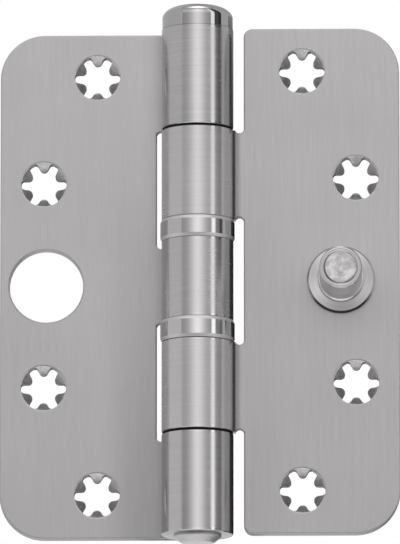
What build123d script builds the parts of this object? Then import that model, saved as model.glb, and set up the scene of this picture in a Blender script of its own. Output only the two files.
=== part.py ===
from build123d import *
import os
from math import acos, asin, atan2, degrees, sqrt

# A round-corner butt hinge, lying flat open. All sizes are in millimetres.
# The pin axis is Z and passes through the origin, which is at mid height.
# The knuckles stand out to the front, -Y, and the backs of the leaves face +Y.
# The frame leaf is on the left, -X, and the door leaf on the right, +X.

# Leaves. The pin stands a little nearer to the frame leaf's edge than to the door leaf's.
leaf_height = 114.0
open_width = 89.0
pin_shift = 0.4
sheet = 3.0
outer_corner = 10.0
inner_corner = 2.0
edge_roll = 0.35
frame_notch_gap = 1.2
door_notch_gap = 2.3
joggle_radius = 4.0
relief_width = 2.0
relief_depth = 0.7

# Barrel
bore_radius = 5.0
mid_knuckle = 18.0
end_knuckle = 22.5
bearing_height = 4.8
washer_gap = 0.5
seam_gap = 0.3
knuckle_bevel = 0.15

# Screw holes: a countersink with six slots through it, which leave six round teeth
hole_edge_outer = 9.7
hole_edge_inner = 21.65
hole_end_outer = 33.95
hole_end_inner = 9.75
sink_radius = 5.0
sink_angle = 90.0
screw_radius = 2.6
slot_width = 2.1
slot_proud = 0.05
slot_corner = 0.75
slot_count = 6
tooth_radius = 0.95

# Security stud and the hole that it enters
stud_edge = 13.05
stud_height = 16.0
stud_play = 3.0
security_hole_lead = 1.95
security_hole_bevel = 0.3
shank_radius = 4.0
rivet_flare = 1.0
flange_radius = 7.5
flange_edge = 0.65
flange_bevel = 0.35
flange_rise = 0.3
collar_radius = 5.2
collar_height = 3.2
collar_bevel = 0.3
collar_step = 0.1
body_taper = 0.1
tip_bevel = 0.2
tip_rim = 0.7
tip_recess_depth = 0.25

# Pin, cap and plug
running_clearance = 0.05
seat_clearance = 0.02
end_play = 0.3
pin_bevel = 0.6
cap_inset = 0.1
cap_height = 5.25
cap_round_width = 4.5
cap_round_height = 2.7
cap_spigot = 6.0
plug_spigot = 5.0
plug_lap = 0.25
plug_head_height = 0.5
plug_bevel_depth = 1.7
plug_bevel_height = 1.3
plug_round = 0.4

# Washers between the end knuckles and the door leaf's knuckles
washer_play = 0.1
washer_inset = 0.15

# Bearings
shell_proud = 0.3
shell_wall = 0.6
shell_bevel_rise = 0.7
shell_bevel_depth = 0.3
shell_gap = 0.1
race_bore_clearance = 0.15
race_clearance = 0.25
ball_radius = 0.8
ball_count = 8
ball_clearance = 0.04
groove_depth = 0.2
cage_clearance = 0.25
cage_wall = 0.2
pocket_clearance = 0.05

# Places that follow from the sizes above
half_height = leaf_height / 2
frame_reach = open_width / 2 - pin_shift
door_reach = open_width / 2 + pin_shift
knuckle_radius = bore_radius + sheet
frame_root = knuckle_radius + frame_notch_gap
door_root = knuckle_radius + door_notch_gap
frame_front = bore_radius
frame_back = knuckle_radius
door_front = -sheet / 2
door_back = sheet / 2
pin_radius = bore_radius - running_clearance

mid_top = mid_knuckle / 2
bearing_top = mid_top + bearing_height
end_low = half_height - end_knuckle
door_top = end_low - washer_gap
frame_spans = [(-half_height, -end_low), (-mid_top, mid_top), (end_low, half_height)]
door_spans = [(-door_top, -bearing_top), (bearing_top, door_top)]

stud_offset = door_reach - stud_edge
body_radius = collar_radius - collar_bevel - collar_step
tip_radius = body_radius - body_taper
rivet_radius = shank_radius + rivet_flare
security_hole_radius = collar_radius + stud_play

# The door leaf's sheet leaves the barrel behind the axis and bends forward into
# the leaf, so that the leaf's middle plane passes through the axis.
ring_middle = bore_radius + sheet / 2
joggle_reach = joggle_radius + ring_middle
joggle_x = sqrt(joggle_reach**2 - joggle_radius**2)
joggle_tilt = degrees(atan2(joggle_radius, joggle_x))

# Each roll stops where its outer corner comes within the seam gap of its own sheet. Angles
# run from +X towards +Y, and the frame leaf's sheet meets its roll straight behind the axis.
frame_roll_start = 90.0
frame_roll_end = 180 - degrees(asin((bore_radius - seam_gap) / knuckle_radius))
frame_roll_sweep = -(360 + frame_roll_start - frame_roll_end)
seam_reach = joggle_radius + sheet / 2 + seam_gap
seam_cosine = (knuckle_radius**2 + joggle_reach**2 - seam_reach**2) / (2 * knuckle_radius * joggle_reach)
door_roll_sweep = 360 - degrees(acos(seam_cosine))

hole_margins = [(hole_edge_outer, hole_end_outer), (hole_edge_inner, hole_end_inner)]
slot_reach = sink_radius + slot_proud


def bent_strip(low, high, centre, inner, outer, start, sweep):
    """The sheet bent round a line parallel to the pin, from one height to another."""
    with BuildPart() as strip:
        with BuildSketch(Plane.XY.offset(low)):
            with BuildLine():
                rim = CenterArc(centre, outer, start, sweep)
                core = CenterArc(centre, inner, start, sweep)
                Line(rim @ 0, core @ 0)
                Line(rim @ 1, core @ 1)
            make_face()
        extrude(amount=high - low)
        chamfer(strip.edges().filter_by(GeomType.CIRCLE), knuckle_bevel)
    return strip.part


def blank(side, reach, root, bend, back, spans, root_corner):
    """The flat of a leaf: a plate with round corners and a stub of sheet for each knuckle.

    side is -1 or 1, and the plate runs from root to reach. The stubs end at bend.
    """
    with BuildPart() as plate:
        with BuildSketch(Plane.XZ.offset(-back)) as outline:
            with Locations((side * (root + reach) / 2, 0)):
                Rectangle(reach - root, leaf_height)
            corners = outline.vertices().group_by(Axis.X)
            fillet(corners[0] if side < 0 else corners[-1], outer_corner)
            if root_corner:
                fillet(outline.vertices().group_by(Axis.X)[0], root_corner)
            for low, high in spans:
                with Locations((side * (bend + root) / 2, (low + high) / 2)):
                    Rectangle(root - bend, high - low)
        extrude(amount=sheet)
        rims = plate.faces().filter_by(Axis.Y).edges()
        free_rims = rims.filter_by(lambda edge: abs(abs(edge.center().X) - bend) > edge_roll)
        fillet(free_rims, edge_roll)
    return plate.part


def relief_slots(side, root, gaps):
    """Round-ended cuts at the roots of the notches, a little past each knuckle's end."""
    with BuildSketch() as slots:
        for low, high in gaps:
            with Locations((side * (root - relief_width / 2), (low + high) / 2)):
                SlotOverall(high - low + 2 * relief_depth, relief_width, rotation=90)
    return slots.sketch


def star():
    """Six slots crossing at one centre, with a round tooth left between each two."""
    with BuildSketch() as outline:
        for turn in range(slot_count // 2):
            RectangleRounded(2 * slot_reach, slot_width, slot_corner, rotation=turn * 360 / slot_count)
        fillet(outline.vertices().sort_by_distance((0, 0, 0))[:slot_count], tooth_radius)
    return outline.sketch


def screw_hole_places(side, reach):
    """The four hole centres of a leaf, as points on the leaf's own plane."""
    return [
        (side * (reach - edge), sign * (half_height - end))
        for edge, end in hole_margins
        for sign in (1, -1)
    ]


def facing_front(x, y, z):
    return Plane((x, y, z), x_dir=(1, 0, 0), z_dir=(0, -1, 0))


# Frame leaf, with the two end knuckles and the middle one
frame_blank = blank(-1, frame_reach, frame_root, 0, frame_back, frame_spans, 0)
frame_rolls = [
    bent_strip(low, high, (0, 0), bore_radius, knuckle_radius, frame_roll_start, frame_roll_sweep)
    for low, high in frame_spans
]
frame_relief = relief_slots(-1, frame_root, [(-end_low, -mid_top), (mid_top, end_low)])
frame_holes = screw_hole_places(-1, frame_reach)
star_outline = star()
with BuildPart() as frame_leaf:
    add(frame_blank)
    add(frame_rolls)
    with BuildSketch(Plane.XZ.offset(-frame_back)):
        add(frame_relief)
    extrude(amount=sheet, mode=Mode.SUBTRACT)
    with BuildSketch(Plane.XZ.offset(-frame_back)):
        with Locations(*frame_holes):
            add(star_outline)
    extrude(amount=sheet, mode=Mode.SUBTRACT)
    with Locations(*[facing_front(x, frame_front, z) for x, z in frame_holes]):
        CounterSinkHole(screw_radius, sink_radius, depth=sheet, counter_sink_angle=sink_angle)
    with Locations(facing_front(-stud_offset - security_hole_lead, frame_front, 0)):
        CounterSinkHole(
            security_hole_radius, security_hole_radius + security_hole_bevel, depth=sheet,
            counter_sink_angle=sink_angle
        )

# Door leaf, with two knuckles
door_blank = blank(1, door_reach, door_root, joggle_x, door_back, door_spans, inner_corner)
door_bends = [
    bent_strip(
        low, high, (joggle_x, joggle_radius), joggle_radius - sheet / 2, joggle_radius + sheet / 2,
        180 + joggle_tilt, 90 - joggle_tilt
    )
    for low, high in door_spans
]
door_rolls = [
    bent_strip(low, high, (0, 0), bore_radius, knuckle_radius, joggle_tilt, door_roll_sweep)
    for low, high in door_spans
]
past_end = half_height + relief_width
door_gaps = [(-past_end, -door_top), (-bearing_top, bearing_top), (door_top, past_end)]
door_relief = relief_slots(1, door_root, door_gaps)
door_holes = screw_hole_places(1, door_reach)
with BuildPart() as door_leaf:
    add(door_blank)
    add(door_bends)
    add(door_rolls)
    with BuildSketch(Plane.XZ.offset(-door_front)):
        add(door_relief)
    extrude(amount=-knuckle_radius, mode=Mode.SUBTRACT)
    with BuildSketch(Plane.XZ.offset(-door_back)):
        with Locations(*door_holes):
            add(star_outline)
    extrude(amount=sheet, mode=Mode.SUBTRACT)
    with Locations(*[facing_front(x, door_front, z) for x, z in door_holes]):
        CounterSinkHole(screw_radius, sink_radius, depth=sheet, counter_sink_angle=sink_angle)
    with Locations(Plane((stud_offset, door_back, 0), x_dir=(1, 0, 0), z_dir=(0, 1, 0))):
        CounterSinkHole(
            shank_radius + seat_clearance, rivet_radius + seat_clearance, depth=sheet,
            counter_sink_angle=sink_angle
        )

# Security stud: turned in one piece and riveted through the door leaf.
# Each point is a radius and a height above the leaf's front face.
flange_top = flange_edge + flange_bevel
tip_recess_radius = tip_radius - tip_bevel - tip_rim
stud_profile = [
    (0, -sheet),
    (rivet_radius, -sheet),
    (shank_radius, -sheet + rivet_flare),
    (shank_radius, 0),
    (flange_radius, 0),
    (flange_radius, flange_edge),
    (flange_radius - flange_bevel, flange_top),
    (collar_radius, flange_top + flange_rise),
    (collar_radius, collar_height - collar_bevel),
    (collar_radius - collar_bevel, collar_height),
    (body_radius, collar_height),
    (tip_radius, stud_height - tip_bevel),
    (tip_radius - tip_bevel, stud_height),
    (tip_recess_radius, stud_height),
    (tip_recess_radius - tip_recess_depth, stud_height - tip_recess_depth),
    (0, stud_height - tip_recess_depth),
]
with BuildPart() as security_stud:
    with BuildSketch(Plane.XY):
        with BuildLine():
            Polyline(
                [(stud_offset + radius, door_front - rise) for radius, rise in stud_profile], close=True
            )
        make_face()
    revolve(axis=Axis((stud_offset, 0, 0), (0, 1, 0)))

# Hinge pin, resting on the plug's spigot
pin_low = -half_height + plug_spigot
pin_high = half_height - cap_spigot - end_play
with BuildPart() as hinge_pin:
    with BuildSketch(Plane.XY.offset(pin_low)):
        Circle(pin_radius)
    extrude(amount=pin_high - pin_low)
    chamfer(hinge_pin.edges().filter_by(GeomType.CIRCLE), pin_bevel)

# Cap on the top knuckle: a domed head on a spigot that is pushed into the bore. Its rim is a
# quarter of an ellipse that runs into the flat of the top.
spigot_radius = bore_radius - seat_clearance
cap_radius = knuckle_radius - cap_inset
cap_top = half_height + cap_height
cap_flat = cap_radius - cap_round_width
cap_shoulder = cap_top - cap_round_height
with BuildPart() as top_cap:
    with BuildSketch(Plane.XZ):
        with BuildLine():
            Polyline(
                (cap_flat, cap_top),
                (0, cap_top),
                (0, half_height - cap_spigot),
                (spigot_radius, half_height - cap_spigot),
                (spigot_radius, half_height),
                (cap_radius, half_height),
                (cap_radius, cap_shoulder),
            )
            EllipticalCenterArc((cap_flat, cap_shoulder), cap_round_width, cap_round_height)
        make_face()
    revolve(axis=Axis.Z)

# Plug in the bottom knuckle, with a bevelled button that laps over the knuckle's end
plug_head_radius = bore_radius + plug_lap
plug_low = -plug_head_height - plug_bevel_height
plug_profile = [
    (0, plug_spigot),
    (spigot_radius, plug_spigot),
    (spigot_radius, 0),
    (plug_head_radius, 0),
    (plug_head_radius, -plug_head_height),
    (plug_head_radius - plug_bevel_depth, plug_low),
    (0, plug_low),
]
with BuildPart() as bottom_plug:
    with BuildSketch(Plane.XZ):
        with BuildLine():
            Polyline([(radius, rise - half_height) for radius, rise in plug_profile], close=True)
        make_face()
    revolve(axis=Axis.Z)
    plug_rims = bottom_plug.edges().filter_by(GeomType.CIRCLE).group_by(Axis.Z)
    fillet(plug_rims[0] + plug_rims[1], plug_round)


washer_height = washer_gap - washer_play


def washer(low):
    """A flat ring round the pin, from one height up."""
    with BuildPart() as ring:
        with BuildSketch(Plane.XY.offset(low)):
            Circle(knuckle_radius - washer_inset)
            Circle(pin_radius + race_bore_clearance, mode=Mode.SUBTRACT)
        extrude(amount=washer_height)
    return ring.part


# Thrust bearings. In each, the shell and the fixed race sit on the middle knuckle, and
# the turning race carries a knuckle of the door leaf. Balls in a cage run between them.
race_gap = 2 * (ball_radius - groove_depth)
race_height = (bearing_height - race_gap) / 2
race_bore = pin_radius + race_bore_clearance
shell_radius = knuckle_radius + shell_proud
shell_bore = shell_radius - shell_wall
turning_race_radius = shell_bore - race_clearance
ball_circle = (race_bore + turning_race_radius) / 2
pocket_radius = ball_radius + pocket_clearance
cage_height = race_gap - 2 * cage_clearance


def race(middle, towards_balls, outer):
    """A ring with a groove for the balls, whose middle plane is given."""
    centre = middle - towards_balls * (race_gap + race_height) / 2
    with BuildPart() as ring:
        with BuildSketch(Plane.XZ):
            with Locations(((race_bore + outer) / 2, centre)):
                Rectangle(outer - race_bore, race_height)
            with Locations((ball_circle, middle)):
                Circle(ball_radius + ball_clearance, mode=Mode.SUBTRACT)
        revolve(axis=Axis.Z)
    return ring.part


def shell(middle, up):
    """The polished ring that shows between two knuckles, with a bevel at each end."""
    seat = middle - up * bearing_height / 2
    mouth = middle + up * (bearing_height / 2 - shell_gap)
    waist = shell_radius - shell_bevel_depth
    with BuildPart() as ring:
        with BuildSketch(Plane.XZ):
            with BuildLine():
                Polyline(
                    (shell_bore, seat),
                    (waist, seat),
                    (shell_radius, seat + up * shell_bevel_rise),
                    (shell_radius, mouth - up * shell_bevel_rise),
                    (waist, mouth),
                    (shell_bore, mouth),
                    close=True,
                )
            make_face()
        revolve(axis=Axis.Z)
    return ring.part


def balls(middle):
    """A ring of loose balls, as separate solids."""
    with BuildPart() as ring:
        with Locations((0, 0, middle)):
            with PolarLocations(ball_circle, ball_count):
                Sphere(ball_radius)
    return ring.part


def cage(middle):
    """A flat ring with a pocket for each ball."""
    with BuildPart() as ring:
        with BuildSketch(Plane.XY.offset(middle - cage_height / 2)):
            Circle(ball_circle + pocket_radius + cage_wall)
            Circle(ball_circle - pocket_radius - cage_wall, mode=Mode.SUBTRACT)
            with PolarLocations(ball_circle, ball_count):
                Circle(pocket_radius, mode=Mode.SUBTRACT)
        extrude(amount=cage_height)
    return ring.part


pieces = {
    "frame_leaf": frame_leaf.part,
    "door_leaf": door_leaf.part,
    "security_stud": security_stud.part,
    "hinge_pin": hinge_pin.part,
    "top_cap": top_cap.part,
    "bottom_plug": bottom_plug.part,
    "upper_washer": washer(end_low - washer_height),
    "lower_washer": washer(-end_low),
}
for name, up in (("upper", 1), ("lower", -1)):
    middle = up * (mid_top + bearing_height / 2)
    pieces[f"{name}_bearing_shell"] = shell(middle, up)
    pieces[f"{name}_fixed_race"] = race(middle, up, shell_bore - seat_clearance)
    pieces[f"{name}_turning_race"] = race(middle, -up, turning_race_radius)
    pieces[f"{name}_balls"] = balls(middle)
    pieces[f"{name}_ball_cage"] = cage(middle)

os.makedirs("parts", exist_ok=True)
for name, piece in pieces.items():
    piece.label = name
    export_step(piece, f"parts/{name}.step")
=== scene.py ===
"""A stainless steel butt hinge with round corners, lying open in front of the camera.

The pin axis is Z through the origin, the front of the hinge faces -Y, and lengths are in metres.
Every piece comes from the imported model. This script gives each one its finish, and sets up the
camera, the light, the screens that the metal reflects and a plain pale floor.
"""
from math import cos, pi, radians, sin

import bpy
import numpy as np
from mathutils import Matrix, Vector


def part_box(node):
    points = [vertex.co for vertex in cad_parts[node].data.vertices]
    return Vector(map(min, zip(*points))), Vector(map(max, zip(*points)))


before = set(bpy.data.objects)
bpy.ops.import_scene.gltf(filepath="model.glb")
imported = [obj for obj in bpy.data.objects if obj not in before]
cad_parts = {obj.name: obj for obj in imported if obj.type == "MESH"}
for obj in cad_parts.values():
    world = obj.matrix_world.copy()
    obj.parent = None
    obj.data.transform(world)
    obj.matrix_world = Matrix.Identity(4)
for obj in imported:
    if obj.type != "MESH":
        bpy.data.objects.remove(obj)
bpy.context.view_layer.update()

MM = 0.001

# The photograph's frame and its camera: focal length in pixels, and the point it looks at
photo_height = 544
focal_pixels = 9776
view_azimuth = radians(-1.1)
view_elevation = radians(10.43)
view_distance = 2.172
view_target = Vector((0.53 * MM, 0, 2.17 * MM))
sensor_long_side = 36

# Places on the hinge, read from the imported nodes
frame_low, frame_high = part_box("frame_leaf")
_, door_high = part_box("door_leaf")
barrel_radius = frame_high.y
barrel_end = frame_high.z
washer_low, washer_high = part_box("upper_washer")
shell_low, shell_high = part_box("upper_bearing_shell")
stud_low, stud_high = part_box("security_stud")
sheet = 3 * MM
frame_front = barrel_radius - sheet
door_front = -sheet / 2

# The stud: its centre, two radii, and where its tip, shaft and flange lie along Y
stud_centre = (stud_low + stud_high) / 2
recess_radius = 3.3 * MM
flange_radius = (stud_high.z - stud_low.z) / 2
tip_end = stud_low.y + 0.45 * MM
shaft_end = door_front - 3.2 * MM
flange_start = door_front - 1.6 * MM

# Screw holes: each is this far from the leaf's free edge and from its nearest end
hole_margins = ((9.7 * MM, 33.95 * MM), (21.65 * MM, 9.75 * MM))
sink_radius = 5.0 * MM
frame_hole_centres = [(frame_low.x + edge, barrel_end - end) for edge, end in hole_margins]
door_hole_centres = [(door_high.x - edge, barrel_end - end) for edge, end in hole_margins]

# Heights above the middle at which knuckles end, the same below it
knuckle_ends = (barrel_end, washer_high.z, washer_low.z, shell_high.z, shell_low.z)
shell_bevel = 0.7 * MM

# Distances from the pin axis: the painted light and shade on the flat beside the roll, and the slots
# between knuckles, where the painted shade on the cut edges is deepest
root_shade_start, root_shade_peak, root_shade_end = 8 * MM, 13 * MM, 23 * MM
slot_floor, slot_shade_end = 12 * MM, 16 * MM

# Height above and below the middle at which the painted light and shade beside a leaf's roll hold in full
painted_root_height = 50 * MM

# Colours of the metals and the plastic
sheet_grey = (0.56, 0.547, 0.553)
turned_grey = (0.58, 0.567, 0.573)
plug_grey = (0.62, 0.608, 0.614)
polished_grey = (0.60, 0.587, 0.593)
cap_grey = (0.53, 0.518, 0.524)
bearing_grey = (0.42, 0.42, 0.43)
brass_yellow = (0.60, 0.45, 0.20)
washer_black = (0.004, 0.004, 0.004)

# Grinding lines: how fine they are, and how they are drawn out along the pin and round it
flat_fineness = 3000.0
ring_fineness = 2600.0
stud_fineness = 2400.0
along_pin = (1.0, 1.0, 0.04)
round_pin = (0.03, 0.03, 1.0)

# How high the lines stand on each finish
sheet_lines = 0.0012 * MM
stud_lines = 0.01 * MM
polished_lines = 0.001 * MM
turned_lines = 0.003 * MM
brass_lines = 0.002 * MM

# Small features of the ground sheet and of the stud's tip
flat_roughness = 0.52
rim_width = 0.3 * MM
rim_drop = 0.08 * MM
groove_pitch = 0.45 * MM
groove_depth = 0.02 * MM
dent_depth = 0.2 * MM


# Small helpers for node trees

def new_node(tree, kind, inputs=None, **settings):
    """One node, with its settings, and with values or links for its named inputs."""
    node = tree.nodes.new(kind)
    for name, value in settings.items():
        setattr(node, name, value)
    for name, value in (inputs or {}).items():
        feed(tree, node.inputs[name], value)
    return node


def feed(tree, socket, value):
    """Links an output to a socket, or writes a plain value on it."""
    if isinstance(value, bpy.types.NodeSocket):
        tree.links.new(value, socket)
    else:
        socket.default_value = value


def maths(tree, operation, first, second=0.0, clamp=False):
    """One step of arithmetic on two numbers or outputs."""
    inputs = {0: first, 1: second}
    return new_node(tree, "ShaderNodeMath", inputs, operation=operation, use_clamp=clamp).outputs[0]


def both(tree, first, second):
    """Where two masks overlap: their product."""
    return maths(tree, "MULTIPLY", first, second)


def squared(tree, value):
    """A value times itself."""
    return maths(tree, "MULTIPLY", value, value)


def bell_curve(tree, distance, fade):
    """One at the middle, and e to the minus square of distance over fade away from it."""
    share = maths(tree, "DIVIDE", distance, fade)
    return maths(tree, "EXPONENT", maths(tree, "MULTIPLY", squared(tree, share), -1.0))


def ramp(tree, value, low, high, to_low=0.0, to_high=1.0):
    """A value between low and high, spread smoothly over to_low to to_high."""
    inputs = {"Value": value, "From Min": low, "From Max": high, "To Min": to_low, "To Max": to_high}
    settings = {"interpolation_type": "SMOOTHSTEP"}
    return new_node(tree, "ShaderNodeMapRange", inputs, **settings).outputs["Result"]


def noise(tree, place, scale, detail=2.0, roughness=0.5):
    """Smooth noise around 0.5."""
    inputs = {"Vector": place, "Scale": scale, "Detail": detail, "Roughness": roughness}
    return new_node(tree, "ShaderNodeTexNoise", inputs).outputs["Fac"]


def object_place(tree):
    """Where a point lies on the object, in metres."""
    return new_node(tree, "ShaderNodeTexCoord").outputs["Object"]


def split(tree, place):
    """The three coordinates of a place."""
    parts = new_node(tree, "ShaderNodeSeparateXYZ", {"Vector": place}).outputs
    return parts["X"], parts["Y"], parts["Z"]


def joined(tree, **parts):
    """A vector with the given X, Y or Z, and zero for the others."""
    return new_node(tree, "ShaderNodeCombineXYZ", parts).outputs["Vector"]


def change_axes(tree, vector, kind, source, target):
    """A vector or a normal, turned from the axes of the world to the object's, or back."""
    settings = {"vector_type": kind, "convert_from": source, "convert_to": target}
    return new_node(tree, "ShaderNodeVectorTransform", {"Vector": vector}, **settings).outputs["Vector"]


def blend(tree, share, first, second):
    """The first value where share is 0, and the second where it is 1."""
    inputs = {"Factor": share, "A": first, "B": second}
    return new_node(tree, "ShaderNodeMix", inputs).outputs["Result"]


def stretched(tree, place, scale):
    """A place with each of its axes stretched by its own factor."""
    inputs = {"Vector": place, "Scale": scale}
    return new_node(tree, "ShaderNodeMapping", inputs, vector_type="POINT").outputs["Vector"]


def new_group(name, inputs, outputs):
    """A shader node group with float or vector inputs and float outputs."""
    group = bpy.data.node_groups.new(name, "ShaderNodeTree")
    for label, kind, default in inputs:
        socket = group.interface.new_socket(label, in_out="INPUT", socket_type=kind)
        socket.default_value = default
    for label, kind in outputs:
        group.interface.new_socket(label, in_out="OUTPUT", socket_type=kind)
    entry = group.nodes.new("NodeGroupInput")
    leave = group.nodes.new("NodeGroupOutput")
    return group, entry, leave


def place_group(tree, group, inputs):
    """One copy of a node group, with values or links for its inputs."""
    node = tree.nodes.new("ShaderNodeGroup")
    node.node_tree = group
    for name, value in inputs.items():
        feed(tree, node.inputs[name], value)
    return node


# Effects that several finishes share

def build_scratch_lines():
    """Fine grinding lines: noise squeezed across the lines and drawn out along them.

    Lines is a fine and a coarse noise mixed by Coarse Share, near 0.5 on average.
    """
    group, entry, leave = new_group(
        "grinding_lines",
        [
            ("Place", "NodeSocketVector", (0, 0, 0)),
            ("Fineness", "NodeSocketFloat", 3000.0),
            ("Coarse Share", "NodeSocketFloat", 0.5),
        ],
        [("Lines", "NodeSocketFloat")],
    )
    value = entry.outputs
    fine = noise(group, value["Place"], value["Fineness"], detail=1.0)
    wide_scale = maths(group, "MULTIPLY", value["Fineness"], 0.23)
    wide = noise(group, value["Place"], wide_scale, detail=3.0, roughness=0.6)
    feed(group, leave.inputs["Lines"], blend(group, value["Coarse Share"], fine, wide))
    return group


def build_finish():
    """Turns grinding lines and a slow cloudiness into a colour and a roughness.

    The colour is the metal's own, times one plus each depth times how far its noise is from 0.5.
    """
    group, entry, leave = new_group(
        "metal_finish",
        [
            ("Metal", "NodeSocketColor", (0.5, 0.5, 0.5, 1.0)),
            ("Lines", "NodeSocketFloat", 0.5),
            ("Place", "NodeSocketVector", (0, 0, 0)),
            ("Line Depth", "NodeSocketFloat", 0.2),
            ("Cloud Depth", "NodeSocketFloat", 0.1),
            ("Cloud Scale", "NodeSocketFloat", 60.0),
            ("Plain Roughness", "NodeSocketFloat", 0.3),
            ("Roughness Spread", "NodeSocketFloat", 0.1),
        ],
        [("Colour", "NodeSocketColor"), ("Roughness", "NodeSocketFloat")],
    )
    value = entry.outputs
    cloud = maths(group, "SUBTRACT", noise(group, value["Place"], value["Cloud Scale"], detail=3.0), 0.5)
    line = maths(group, "SUBTRACT", value["Lines"], 0.5)
    line_part = maths(group, "MULTIPLY", line, value["Line Depth"])
    cloud_part = maths(group, "MULTIPLY", cloud, value["Cloud Depth"])
    gain = maths(group, "ADD", maths(group, "ADD", line_part, cloud_part), 1.0)
    colour = new_node(group, "ShaderNodeVectorMath", {0: value["Metal"], "Scale": gain}, operation="SCALE")
    uneven = maths(group, "MULTIPLY", maths(group, "ADD", line, cloud), value["Roughness Spread"])
    roughness = maths(group, "ADD", value["Plain Roughness"], uneven, clamp=True)
    feed(group, leave.inputs["Colour"], colour.outputs["Vector"])
    feed(group, leave.inputs["Roughness"], roughness)
    return group


def build_zone():
    """Changes a finish inside a mask: the colour is multiplied and the roughness replaced."""
    group, entry, leave = new_group(
        "finish_zone",
        [
            ("Colour", "NodeSocketColor", (0.5, 0.5, 0.5, 1.0)),
            ("Roughness", "NodeSocketFloat", 0.3),
            ("Mask", "NodeSocketFloat", 0.0),
            ("Gain", "NodeSocketFloat", 1.0),
            ("Zone Roughness", "NodeSocketFloat", 0.3),
        ],
        [("Colour", "NodeSocketColor"), ("Roughness", "NodeSocketFloat")],
    )
    value = entry.outputs
    change = maths(group, "MULTIPLY", value["Mask"], maths(group, "SUBTRACT", value["Gain"], 1.0))
    inputs = {0: value["Colour"], "Scale": maths(group, "ADD", change, 1.0)}
    colour = new_node(group, "ShaderNodeVectorMath", inputs, operation="SCALE")
    roughness = blend(group, value["Mask"], value["Roughness"], value["Zone Roughness"])
    feed(group, leave.inputs["Colour"], colour.outputs["Vector"])
    feed(group, leave.inputs["Roughness"], roughness)
    return group


grinding_lines = build_scratch_lines()
metal_finish = build_finish()
finish_zone = build_zone()


def new_material(name):
    """A new material, with its node tree and its Principled shader."""
    material = bpy.data.materials.new(name)
    material.use_nodes = True
    tree = material.node_tree
    shader = next(node for node in tree.nodes if node.type == "BSDF_PRINCIPLED")
    return material, tree, shader


def relief(tree, height, depth, under=None):
    """A bump whose height of 1 stands for depth, on top of another bump where one is given."""
    inputs = {"Height": height, "Distance": depth}
    if under is not None:
        inputs["Normal"] = under
    return new_node(tree, "ShaderNodeBump", inputs).outputs["Normal"]


def dress_metal(tree, shader, metal, place, lines, looks, depth, zones=()):
    """Wires a metal finish, its zones and its bump into a metal's shader.

    Each zone is a mask, what the colour is multiplied by there, and the roughness there.
    """
    inputs = {"Metal": (*metal, 1.0), "Lines": lines, "Place": place, **looks}
    finish = place_group(tree, metal_finish, inputs)
    for mask, gain, roughness in zones:
        inputs = {
            "Colour": finish.outputs["Colour"], "Roughness": finish.outputs["Roughness"],
            "Mask": mask, "Gain": gain, "Zone Roughness": roughness,
        }
        finish = place_group(tree, finish_zone, inputs)
    feed(tree, shader.inputs["Base Color"], finish.outputs["Colour"])
    feed(tree, shader.inputs["Roughness"], finish.outputs["Roughness"])
    normal = relief(tree, lines, depth)
    feed(tree, shader.inputs["Normal"], normal)
    shader.inputs["Metallic"].default_value = 1.0
    return normal


def grinding(tree, place, fineness, coarse=0.5):
    """Grinding lines at a place, around 0.5."""
    inputs = {"Place": place, "Fineness": fineness, "Coarse Share": coarse}
    return place_group(tree, grinding_lines, inputs).outputs["Lines"]


def nearest_height(tree, height, ends):
    """How far a height is from the nearest of some heights, which hold above and below the middle."""
    folded = maths(tree, "ABSOLUTE", height)
    gaps = [maths(tree, "ABSOLUTE", maths(tree, "SUBTRACT", folded, end)) for end in ends]
    nearest = gaps[0]
    for gap in gaps[1:]:
        nearest = maths(tree, "MINIMUM", nearest, gap)
    return nearest


def nearest_hole(tree, across, height, centres):
    """How far a place is from the axis of the nearest screw hole, above and below the middle."""
    folded = maths(tree, "ABSOLUTE", height)
    nearest = 1.0
    for centre_x, centre_z in centres:
        side = squared(tree, maths(tree, "SUBTRACT", across, centre_x))
        rise = squared(tree, maths(tree, "SUBTRACT", folded, centre_z))
        distance = maths(tree, "SQRT", maths(tree, "ADD", side, rise))
        nearest = maths(tree, "MINIMUM", distance, nearest)
    return nearest


def distance_from_axis(tree, place, axis_name, centre=(0, 0, 0)):
    """How far a place is from a line through centre along Y or Z, and its offset from centre."""
    inputs = {0: place, 1: centre}
    offset = new_node(tree, "ShaderNodeVectorMath", inputs, operation="SUBTRACT").outputs["Vector"]
    inputs = {0: offset, 1: {"Y": (1, 0, 1), "Z": (1, 1, 0)}[axis_name]}
    across = new_node(tree, "ShaderNodeVectorMath", inputs, operation="MULTIPLY").outputs["Vector"]
    length = new_node(tree, "ShaderNodeVectorMath", {0: across}, operation="LENGTH").outputs["Value"]
    return length, offset


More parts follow.
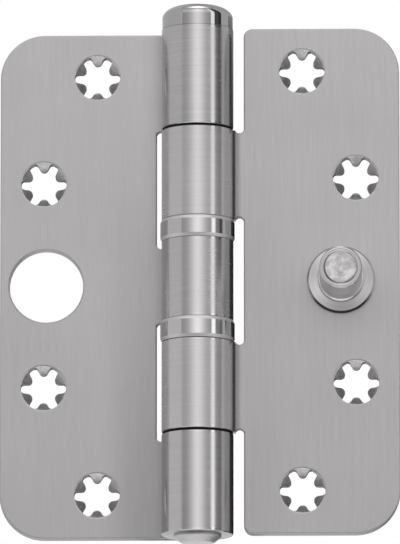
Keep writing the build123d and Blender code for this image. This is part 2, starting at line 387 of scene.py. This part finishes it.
def hole_zones(tree, place, hole_centres, front):
    """The finish of the screw holes, and the height of their rolled rims.

    On a countersink the depth below the front and the distance from the hole's axis add up to
    the countersink's radius. Other places inside that radius are the walls of the slots.
    """
    across, deep, height = split(tree, place)
    hole_gap = nearest_hole(tree, across, height, hole_centres)
    depth = maths(tree, "SUBTRACT", deep, front)
    in_hole = ramp(tree, hole_gap, sink_radius + 0.02 * MM, sink_radius + 0.08 * MM, 1.0, 0.0)
    before_back = ramp(tree, depth, sheet - 0.06 * MM, sheet - 0.02 * MM, 1.0, 0.0)
    in_metal = both(tree, in_hole, before_back)
    from_cone = maths(tree, "SUBTRACT", maths(tree, "ADD", depth, hole_gap), sink_radius)
    off_cone = ramp(tree, maths(tree, "ABSOLUTE", from_cone), 0.03 * MM, 0.08 * MM)
    slot_wall = both(tree, in_metal, off_cone)
    on_cone = maths(tree, "SUBTRACT", in_metal, slot_wall)
    drill_marks = noise(tree, place, 1600.0, detail=4.0, roughness=0.7)
    drilled = ramp(tree, drill_marks, 0.3, 0.7, 0.85, 1.2)
    # The slot walls inside the holes are darkened: painted shade
    zones = [(on_cone, drilled, 0.28), (slot_wall, 0.35, 0.6)]

    outside = ramp(tree, hole_gap, sink_radius, sink_radius + rim_width)
    on_front = ramp(tree, depth, 0.0, 0.05 * MM, 1.0, 0.0)
    rim = both(tree, maths(tree, "SUBTRACT", outside, 1.0), on_front)
    return zones, rim


def painted_root_zones(tree, radius, height, on_flat, gains):
    """The flat beside the roll: painted light and shade that change with height, painted shade on a slight
    bend, and a painted shadow on the seam along the roll.
    """
    # Painted light and shade beside the roll: the colour is multiplied by a gain that changes with height
    painted_root_mask = both(tree, ramp(tree, radius, root_shade_peak, root_shade_end, 1.0, 0.0), on_flat)
    painted_root_mask = both(tree, painted_root_mask, ramp(tree, radius, root_shade_start, root_shade_peak, 0.4, 1.0))
    painted_root_levels = (gains["painted_root_low"], gains["painted_root_high"])
    painted_by_height = ramp(tree, height, -painted_root_height, painted_root_height, *painted_root_levels)
    off_roll = ramp(tree, radius, barrel_radius + 0.01 * MM, barrel_radius + 0.04 * MM)
    painted_bend_shade = ramp(tree, radius, barrel_radius + 0.9 * MM, barrel_radius + 2.0 * MM, 1.0, 0.0)
    painted_seam_shadow = ramp(tree, radius, barrel_radius + 0.25 * MM, barrel_radius + 0.75 * MM, 1.0, 0.0)
    # The bend gets painted shade, and the seam along the roll gets a painted shadow
    return [
        (painted_root_mask, painted_by_height, flat_roughness),
        (both(tree, off_roll, painted_bend_shade), gains["bend"], flat_roughness),
        (both(tree, off_roll, painted_seam_shadow), gains["seam"], flat_roughness),
    ]


def edge_zones(tree, radius, height, on_flat, on_barrel):
    """The sheet's cut edges, darkened, with painted shade deepest in the slots, and the turned ends of the
    knuckles, whose end faces are darkened by painted shade.
    """
    facing = new_node(tree, "ShaderNodeNewGeometry").outputs["Normal"]
    _, front_share, up_share = split(tree, change_axes(tree, facing, "NORMAL", "WORLD", "OBJECT"))
    sideways = ramp(tree, maths(tree, "ABSOLUTE", front_share), 0.2, 0.6, 1.0, 0.0)
    # Painted shade: the cut edges grow darker towards the slots between knuckles
    edge_and_slot_shade = ramp(tree, radius, slot_floor, slot_shade_end, 0.2, 0.6)
    end_gap = nearest_height(tree, height, knuckle_ends)
    near_end = ramp(tree, end_gap, 0.25 * MM, 0.75 * MM, 1.0, 0.0)
    # Painted shade: the knuckles' upward and downward end faces are darkened
    painted_end_shade = ramp(tree, maths(tree, "ABSOLUTE", up_share), 0.8, 0.95)
    return [
        (both(tree, sideways, on_flat), edge_and_slot_shade, 0.5),
        (both(tree, near_end, on_barrel), 1.0, 0.12),
        (both(tree, painted_end_shade, on_barrel), 0.42, 0.3),
    ]


def ground_sheet(name, hole_centres, front, gains):
    """Stainless sheet: ground along the pin on the flat, and round the pin on the knuckles.

    Each gain is what the colour is multiplied by: on the barrel, at the low and the high end of the flat
    beside the roll, where it paints light and shade, on the bend, where it paints shade, and on the seam,
    where it paints a shadow. Metallic is how metallic the barrel is.
    """
    material, tree, shader = new_material(name)
    place = object_place(tree)
    _, _, height = split(tree, place)
    radius, _ = distance_from_axis(tree, place, "Z")
    on_barrel = ramp(tree, radius, barrel_radius + 0.05 * MM, barrel_radius + 0.6 * MM, 1.0, 0.0)
    on_flat = maths(tree, "SUBTRACT", 1.0, on_barrel)
    along = grinding(tree, stretched(tree, place, along_pin), flat_fineness, coarse=0.35)
    around = grinding(tree, stretched(tree, place, round_pin), ring_fineness, coarse=0.2)
    lines = blend(tree, on_barrel, along, around)

    in_holes, rim = hole_zones(tree, place, hole_centres, front)
    zones = [(on_flat, 1.0 / gains["barrel"], flat_roughness)]
    zones += painted_root_zones(tree, radius, height, on_flat, gains)
    zones += edge_zones(tree, radius, height, on_flat, on_barrel)
    zones += in_holes
    metal = tuple(gains["barrel"] * share for share in sheet_grey)
    grain = dress_metal(tree, shader, metal, place, lines, sheet_looks, sheet_lines, zones)
    feed(tree, shader.inputs["Normal"], relief(tree, rim, rim_drop, under=grain))
    if gains["metallic"] < 1.0:
        feed(tree, shader.inputs["Metallic"], ramp(tree, on_barrel, 0.0, 1.0, 1.0, gains["metallic"]))

    grain_way = change_axes(tree, joined(tree, X=on_flat, Z=on_barrel), "VECTOR", "OBJECT", "WORLD")
    feed(tree, shader.inputs["Tangent"], grain_way)
    shader.inputs["Anisotropic"].default_value = 0.5
    return material


def turned_stud():
    """The stud, turned on a lathe: fine rings round its own axis, and a dented spot on its tip.

    The tip's rim has grooves, a sine wave of the radius. The flange's rim is darkened on its low side: a
    painted shadow.
    """
    material, tree, shader = new_material("turned_stainless_stud")
    place = object_place(tree)
    radius, offset = distance_from_axis(tree, place, "Y", tuple(stud_centre))
    _, depth, rise = split(tree, offset)
    _, deep, _ = split(tree, place)
    lines = grinding(tree, joined(tree, X=radius, Y=depth), stud_fineness)
    on_tip = ramp(tree, deep, tip_end - 0.15 * MM, tip_end, 1.0, 0.0)
    on_body = maths(tree, "SUBTRACT", 1.0, on_tip)
    on_shaft = ramp(tree, deep, shaft_end - 0.2 * MM, shaft_end, 1.0, 0.0)
    on_flange = ramp(tree, deep, flange_start, flange_start + 0.2 * MM)
    dented = both(tree, on_tip, ramp(tree, radius, recess_radius, recess_radius + 0.4 * MM, 1.0, 0.0))
    dents = noise(tree, place, 520.0, detail=4.0, roughness=0.6)
    scuffs = ramp(tree, dents, 0.35, 0.65, 0.75, 1.2)
    painted_shadow_side = ramp(tree, rise, -5.5 * MM, -2.5 * MM, 1.0, 0.0)
    at_rim = ramp(tree, radius, flange_radius - 0.45 * MM, flange_radius - 0.3 * MM)
    zones = (
        (on_body, 1.3, 0.24),
        (on_shaft, 1.15, 0.48),
        (on_tip, 0.76, 0.2),
        (dented, scuffs, 0.3),
        (on_flange, 0.68, 0.12),
        # Painted shadow: the flange's rim is darkened on its low side
        (both(tree, at_rim, painted_shadow_side), 0.12, 0.6),
    )
    grain = dress_metal(tree, shader, turned_grey, place, lines, stud_looks, stud_lines, zones)
    wave = maths(tree, "SINE", maths(tree, "MULTIPLY", radius, 2 * pi / groove_pitch))
    on_rim = maths(tree, "SUBTRACT", on_tip, dented)
    grooved = relief(tree, both(tree, wave, on_rim), groove_depth, under=grain)
    hollows = both(tree, dents, dented)
    feed(tree, shader.inputs["Normal"], relief(tree, hollows, dent_depth, under=grooved))
    return material


def rings_round_pin(tree, place):
    """Fine rings that follow height and radius, and the height."""
    radius, _ = distance_from_axis(tree, place, "Z")
    _, _, height = split(tree, place)
    return grinding(tree, joined(tree, X=radius, Z=height), ring_fineness), height


def bearing_ring():
    """The bearing's outer ring: polished, with its two bevels left dull from the lathe."""
    material, tree, shader = new_material("polished_ring_with_dull_bevels")
    place = object_place(tree)
    lines, height = rings_round_pin(tree, place)
    end_gap = nearest_height(tree, height, (shell_high.z, shell_low.z))
    on_bevel = ramp(tree, end_gap, shell_bevel - 0.05 * MM, shell_bevel + 0.02 * MM, 1.0, 0.0)
    zones = ((on_bevel, 1.3, 0.5),)
    dress_metal(tree, shader, polished_grey, place, lines, polished_looks, polished_lines, zones)
    return material


def turned_round_pin(name, looks, metal, line_height):
    """A piece turned round the pin's axis."""
    material, tree, shader = new_material(name)
    place = object_place(tree)
    lines, _ = rings_round_pin(tree, place)
    dress_metal(tree, shader, metal, place, lines, looks, line_height)
    return material


def moulded_washer():
    """Black plastic, with a faint grain from the mould."""
    material, tree, shader = new_material("moulded_black_washer")
    place = object_place(tree)
    grain = noise(tree, place, 3500.0, detail=3.0)
    feed(tree, shader.inputs["Roughness"], ramp(tree, grain, 0.3, 0.7, 0.45, 0.65))
    darker = ramp(tree, noise(tree, place, 300.0), 0.3, 0.7, 0.6, 1.4)
    inputs = {0: washer_black, "Scale": darker}
    colour = new_node(tree, "ShaderNodeVectorMath", inputs, operation="SCALE")
    feed(tree, shader.inputs["Base Color"], colour.outputs["Vector"])
    feed(tree, shader.inputs["Normal"], relief(tree, grain, 0.01 * MM))
    shader.inputs["Specular IOR Level"].default_value = 0.12
    return material


def give(material, *names):
    """Puts one finish on each named piece."""
    for name in names:
        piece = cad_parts[name]
        piece.data.materials.clear()
        piece.data.materials.append(None)
        piece.material_slots[0].link = "OBJECT"
        piece.material_slots[0].material = material


# How strongly each finish shows its lines and its clouds
sheet_looks = {
    "Line Depth": 0.18, "Cloud Depth": 0.12, "Cloud Scale": 45.0,
    "Plain Roughness": 0.25, "Roughness Spread": 0.12,
}
stud_looks = {
    "Line Depth": 0.5, "Cloud Depth": 0.15, "Cloud Scale": 220.0,
    "Plain Roughness": 0.24, "Roughness Spread": 0.2,
}
polished_looks = {
    "Line Depth": 0.12, "Cloud Depth": 0.06, "Cloud Scale": 90.0,
    "Plain Roughness": 0.13, "Roughness Spread": 0.08,
}
plain_looks = {
    "Line Depth": 0.25, "Cloud Depth": 0.08, "Cloud Scale": 150.0,
    "Plain Roughness": 0.24, "Roughness Spread": 0.12,
}
cap_looks = {**polished_looks, "Plain Roughness": 0.05, "Roughness Spread": 0.03}
plug_looks = {**plain_looks, "Plain Roughness": 0.5}

# The gains beside the roll paint light and shade, the bend's gain paints shade and the seam's gain paints
# a shadow
frame_gains = {
    "barrel": 1.0, "metallic": 1.0, "painted_root_low": 0.84, "painted_root_high": 1.08, "bend": 1.0, "seam": 1.0,
}
door_gains = {
    "barrel": 1.09, "metallic": 0.66, "painted_root_low": 0.97, "painted_root_high": 0.97, "bend": 0.72, "seam": 0.2,
}

give(ground_sheet("ground_frame_leaf", frame_hole_centres, frame_front, frame_gains), "frame_leaf")
give(ground_sheet("ground_door_leaf", door_hole_centres, door_front, door_gains), "door_leaf")
give(turned_stud(), "security_stud")
give(bearing_ring(), "upper_bearing_shell", "lower_bearing_shell")
give(turned_round_pin("polished_stainless_cap", cap_looks, cap_grey, polished_lines), "top_cap")
give(turned_round_pin("dull_turned_plug", plug_looks, plug_grey, turned_lines), "bottom_plug")
give(turned_round_pin("turned_stainless", plain_looks, turned_grey, turned_lines), "hinge_pin")
give(turned_round_pin("ground_bearing_steel", polished_looks, bearing_grey, polished_lines),
     "upper_fixed_race", "upper_turning_race", "upper_balls",
     "lower_fixed_race", "lower_turning_race", "lower_balls")
give(turned_round_pin("pressed_brass", plain_looks, brass_yellow, brass_lines),
     "upper_ball_cage", "lower_ball_cage")
give(moulded_washer(), "upper_washer", "lower_washer")


# Camera, light and floor

def add_camera():
    """Looks at the target from a distance, with the camera's top towards +Z."""
    data = bpy.data.cameras.new("camera")
    data.sensor_width = sensor_long_side
    data.lens = focal_pixels / photo_height * sensor_long_side
    data.clip_start = 0.1
    data.clip_end = 80.0
    camera = bpy.data.objects.new("camera", data)
    bpy.context.scene.collection.objects.link(camera)
    level = cos(view_elevation)
    towards = Vector((sin(view_azimuth) * level, cos(view_azimuth) * level, sin(view_elevation)))
    camera.location = view_target - towards * view_distance
    camera.rotation_euler = towards.to_track_quat("-Z", "Y").to_euler()
    bpy.context.scene.camera = camera


def add_bounce_card():
    """A square lamp straight below the hinge that shines upwards."""
    data = bpy.data.lights.new("bounce_card", "AREA")
    data.size = card_side
    data.energy = card_level * pi * card_side * card_side
    lamp = bpy.data.objects.new("bounce_card", data)
    bpy.context.scene.collection.objects.link(lamp)
    lamp.location = (0, 0, card_height)
    lamp.rotation_euler = (pi, 0, 0)
    lamp.visible_camera = False


def add_screen(name, from_bearing, to_bearing, material):
    """A curved screen round the pin: a stretch of an upright cylinder's wall.

    Across the grid the bearing runs from one side to the other, and up it the height from the
    screens' low edge to their high edge. A point's X is the distance times the sine of its
    bearing, and its Y the distance times minus the cosine.
    """
    bearing = np.radians(np.linspace(from_bearing, to_bearing, screen_steps + 1))
    turn, level = np.meshgrid(bearing, np.array([screen_low, screen_high]), indexing="ij")
    wall = np.stack([np.sin(turn), -np.cos(turn), level / screen_distance], axis=-1) * screen_distance
    first = 2 * np.arange(screen_steps)
    faces = np.stack([first, first + 1, first + 3, first + 2], axis=-1)
    mesh = bpy.data.meshes.new(name)
    mesh.from_pydata(wall.reshape(-1, 3).tolist(), [], faces.tolist())
    mesh.materials.append(material)
    screen = bpy.data.objects.new(name, mesh)
    screen.visible_camera = False
    bpy.context.scene.collection.objects.link(screen)


def glowing(name, level):
    """A screen that glows with a level, plain or worked out over its surface."""
    material, tree, shader = new_material(name)
    tree.nodes.remove(shader)
    output = next(node for node in tree.nodes if node.type == "OUTPUT_MATERIAL")
    strength = level(tree) if callable(level) else level
    glow = new_node(tree, "ShaderNodeEmission", {"Color": (1, 1, 1, 1), "Strength": strength})
    feed(tree, output.inputs["Surface"], glow.outputs["Emission"])
    return material


def front_level(tree):
    """A bright bell straight ahead over a dimmer base, both changing with height."""
    side, _, height = split(tree, object_place(tree))
    bell = bell_curve(tree, maths(tree, "SUBTRACT", side, screen_middle), screen_fade)
    bell_level = maths(tree, "ADD", ramp(tree, height, *bell_rise), ramp(tree, height, *bell_fall))
    base_level = maths(tree, "ADD", ramp(tree, height, *base_rise), ramp(tree, height, *base_top))
    return maths(tree, "ADD", maths(tree, "MULTIPLY", bell, bell_level), base_level)


def ceiling_level(tree):
    """A soft bright spot overhead on a dimmer ceiling."""
    reach, _ = distance_from_axis(tree, object_place(tree), "Z")
    spot = maths(tree, "MULTIPLY", bell_curve(tree, reach, spot_fade), spot_level)
    return maths(tree, "ADD", spot, ceiling_base)


def by_height(*rise):
    """A level that goes from one value to another between two heights."""
    def level(tree):
        _, _, height = split(tree, object_place(tree))
        return ramp(tree, height, *rise)
    return level


def add_world():
    """White all round for what the camera and the metal see, and a little less as fill."""
    world = bpy.data.worlds.new("white_room")
    world.use_nodes = True
    bpy.context.scene.world = world
    tree = world.node_tree
    path = new_node(tree, "ShaderNodeLightPath").outputs
    seen = maths(tree, "ADD", path["Is Camera Ray"], path["Is Glossy Ray"])
    seen = maths(tree, "ADD", seen, path["Is Transmission Ray"], clamp=True)
    strength = maths(tree, "ADD", maths(tree, "MULTIPLY", seen, 1.0 - fill_level), fill_level)
    background = next(node for node in tree.nodes if node.type == "BACKGROUND")
    background.inputs["Color"].default_value = (1, 1, 1, 1)
    feed(tree, background.inputs["Strength"], strength)


def add_flat(name, half, height, material):
    """A level square round the Z axis, with half of its side given."""
    corners = [(x * half, y * half, height) for x, y in ((-1, -1), (1, -1), (1, 1), (-1, 1))]
    mesh = bpy.data.meshes.new(name)
    mesh.from_pydata(corners, [], [(0, 1, 2, 3)])
    mesh.materials.append(material)
    flat = bpy.data.objects.new(name, mesh)
    bpy.context.scene.collection.objects.link(flat)
    return flat


def pale_floor():
    """A plain, dull, nearly white floor."""
    material, tree, shader = new_material("pale_floor")
    shader.inputs["Base Color"].default_value = (0.9, 0.9, 0.9, 1)
    shader.inputs["Roughness"].default_value = 0.9
    return material


# The screens round the hinge, and the bell of light on the front one
screen_steps = 24
screen_distance = 0.6
screen_middle = 0.01
screen_fade = 0.24
screen_low, screen_high = -0.70, 1.2

# The ceiling's soft spot, the lamp below, the room's fill light and the floor
spot_fade = 0.28
spot_level = 2.6
ceiling_base = 0.40
ceiling_half = 0.62
card_height = -0.5
card_side = 0.5
card_level = 0.45
fill_level = 0.8
floor_half = 30.0
floor_height = -0.75

# How levels change with height: from one height to another, and the level at each
bell_rise = (-0.12, 0.03, 0.24, 0.94)
bell_fall = (0.04, 0.17, 0.10, -0.16)
base_rise = (-0.12, 0.05, 0.10, 0.40)
base_top = (0.17, 0.35, 0.0, 0.28)
strip_fall = (0.06, 0.16, 1.75, 1.38)
left_fall = (0.04, 0.17, 0.74, 0.61)
dim_fall = (0.13, 0.172, 0.31, 0.10)
dark_fall = (0.095, 0.115, 0.22, 0.05)
back_fall = (0.2, 0.4, 1.1, 0.45)
black_rise = (0.165, 0.20, 0.0, 0.5)
side_level = 0.58

# Each screen: its two bearings, and how strongly it glows
screens = {
    "front_screen": (-51, 44.5, front_level),
    "strip_screen": (45.5, 56.5, by_height(*strip_fall)),
    "dim_screen": (58, 72, by_height(*dim_fall)),
    "dark_screen": (72, 84, by_height(*dark_fall)),
    "side_screen": (84, 117, side_level),
    "black_screen": (118, 165, by_height(*black_rise)),
    "back_screen": (166, 194, by_height(*back_fall)),
    "left_screen": (-165, -52, by_height(*left_fall)),
}

add_camera()
add_world()
add_bounce_card()
add_flat("floor", floor_half, floor_height, pale_floor())
ceiling = add_flat("ceiling_screen", ceiling_half, screen_high, glowing("ceiling_screen", ceiling_level))
ceiling.visible_camera = False
for screen_name, (from_bearing, to_bearing, level) in screens.items():
    add_screen(screen_name, from_bearing, to_bearing, glowing(screen_name, level))

bpy.context.scene.view_settings.view_transform = "Standard"
